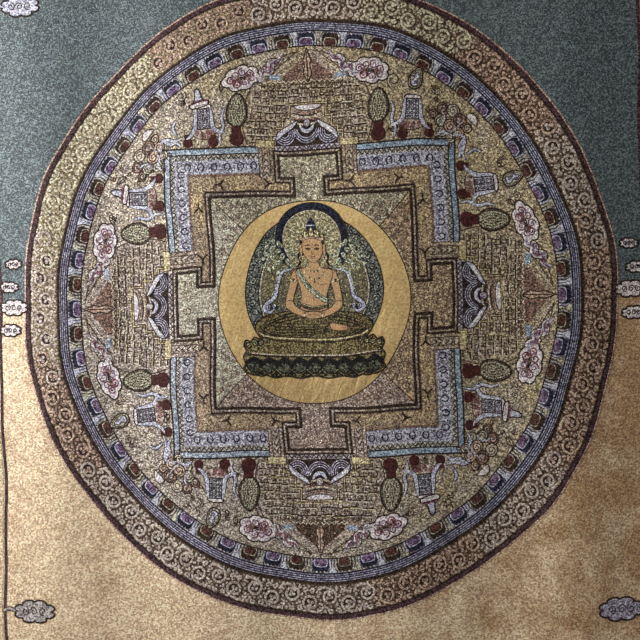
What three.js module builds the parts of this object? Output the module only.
// Thangka picture panel: one woven cloth with a turned hem, hanging by its straight top edge.
// Millimetres, +Z up. The origin is the middle of the top edge, and the picture faces -Y.
import * as THREE from "three";

const PANEL = { width: 680, height: 900 };
const CLOTH = { thickness: 1.6, hemThickness: 2.8, hemWidth: 12 };
const GRID = { columns: 34, rows: 45 };
const SLACK_LENGTH = 190; // drop over which the folds open out below the straight top edge
const HOLLOW = { depth: 5, exponent: 2 }; // the two sides hang a little behind the middle
const CORNER_LIFT = { forward: 9, across: 70, up: 120 }; // lower corners turn towards the viewer

// Soft folds that run down the cloth. across is the middle of a fold at the top edge, lean is how
// far it wanders sideways by the bottom, width is its half-width, and forward is how far its crest
// stands towards the viewer, or behind where negative.
const FOLDS = [
  { across: -286, lean: 14, width: 40, forward: 5.5 },
  { across: -204, lean: 22, width: 46, forward: -5 },
  { across: -112, lean: 6, width: 52, forward: 4 },
  { across: -18, lean: -16, width: 44, forward: -3 },
  { across: 74, lean: -10, width: 50, forward: 4.5 },
  { across: 168, lean: 10, width: 48, forward: -5.5 },
  { across: 262, lean: -12, width: 42, forward: 6.5 },
];

// Shallow drags that cross the cloth. drop is where one starts at the left side, rise is how far
// it climbs by the right side, and the other columns are as above.
const DRAGS = [
  { drop: 210, rise: 60, width: 70, forward: 1.8 },
  { drop: 470, rise: -40, width: 85, forward: -2.2 },
  { drop: 735, rise: 50, width: 75, forward: 2.4 },
];

const bell = (distance, width) => Math.exp(-((distance / width) ** 2));

function forwardAt(across, drop) {
  const share = drop / PANEL.height;
  const side = across / (PANEL.width / 2);
  const slack = 1 - Math.exp(-drop / SLACK_LENGTH);
  let forward = -HOLLOW.depth * Math.abs(side) ** HOLLOW.exponent;
  for (const fold of FOLDS) {
    forward += fold.forward * bell(across - fold.across - fold.lean * share, fold.width);
  }
  for (const drag of DRAGS) {
    const crest = drag.drop - drag.rise * (side + 1) / 2;
    forward += drag.forward * bell(drop - crest, drag.width);
  }
  const fromSide = PANEL.width / 2 - Math.abs(across);
  const fromBottom = PANEL.height - drop;
  forward += CORNER_LIFT.forward * bell(fromSide, CORNER_LIFT.across) * bell(fromBottom, CORNER_LIFT.up);
  return forward * slack;
}

// Grid lines across one side of the cloth: the edge, the inner line of the hem, and even steps between.
function gridLines(length, count) {
  const inner = length - 2 * CLOTH.hemWidth;
  const lines = [0];
  for (let step = 0; step <= count - 2; step += 1) {
    lines.push(CLOTH.hemWidth + (inner * step) / (count - 2));
  }
  lines.push(length);
  return lines;
}

// The hem is turned to the back, so the front is one smooth face and the back steps out at the hem.
function backThickness(column, row) {
  const inHem = column === 0 || row === 0 || column === GRID.columns || row === GRID.rows;
  return inHem ? CLOTH.hemThickness : CLOTH.thickness;
}

function panelGeometry() {
  const acrossLines = gridLines(PANEL.width, GRID.columns).map((line) => line - PANEL.width / 2);
  const dropLines = gridLines(PANEL.height, GRID.rows);
  const positions = [];
  const faces = [];
  const perSide = (GRID.columns + 1) * (GRID.rows + 1);
  const front = (column, row) => row * (GRID.columns + 1) + column;
  const back = (column, row) => perSide + front(column, row);

  for (const isBack of [false, true]) {
    for (let row = 0; row <= GRID.rows; row += 1) {
      for (let column = 0; column <= GRID.columns; column += 1) {
        const across = acrossLines[column];
        const drop = dropLines[row];
        const behind = isBack ? backThickness(column, row) : 0;
        positions.push(across, behind - forwardAt(across, drop), -drop);
      }
    }
  }

  const quad = (a, b, c, d) => faces.push(a, b, c, a, c, d);
  for (let row = 0; row < GRID.rows; row += 1) {
    for (let column = 0; column < GRID.columns; column += 1) {
      quad(front(column, row), front(column, row + 1), front(column + 1, row + 1), front(column + 1, row));
      quad(back(column, row), back(column + 1, row), back(column + 1, row + 1), back(column, row + 1));
    }
  }
  for (let row = 0; row < GRID.rows; row += 1) {
    const last = GRID.columns;
    quad(front(0, row), back(0, row), back(0, row + 1), front(0, row + 1));
    quad(front(last, row), front(last, row + 1), back(last, row + 1), back(last, row));
  }
  for (let column = 0; column < GRID.columns; column += 1) {
    const last = GRID.rows;
    quad(front(column, 0), front(column + 1, 0), back(column + 1, 0), back(column, 0));
    quad(front(column, last), back(column, last), back(column + 1, last), front(column + 1, last));
  }

  const geometry = new THREE.BufferGeometry();
  geometry.setAttribute("position", new THREE.Float32BufferAttribute(positions, 3));
  geometry.setIndex(faces);
  geometry.computeVertexNormals();
  return geometry;
}

const goldBrocade = new THREE.MeshStandardMaterial({ color: 0x9a866b, roughness: 0.55, metalness: 0.35 });
const wovenPanel = new THREE.Mesh(panelGeometry(), goldBrocade);
wovenPanel.name = "woven_panel";

const thangka = new THREE.Group();
thangka.add(wovenPanel);

export default thangka;
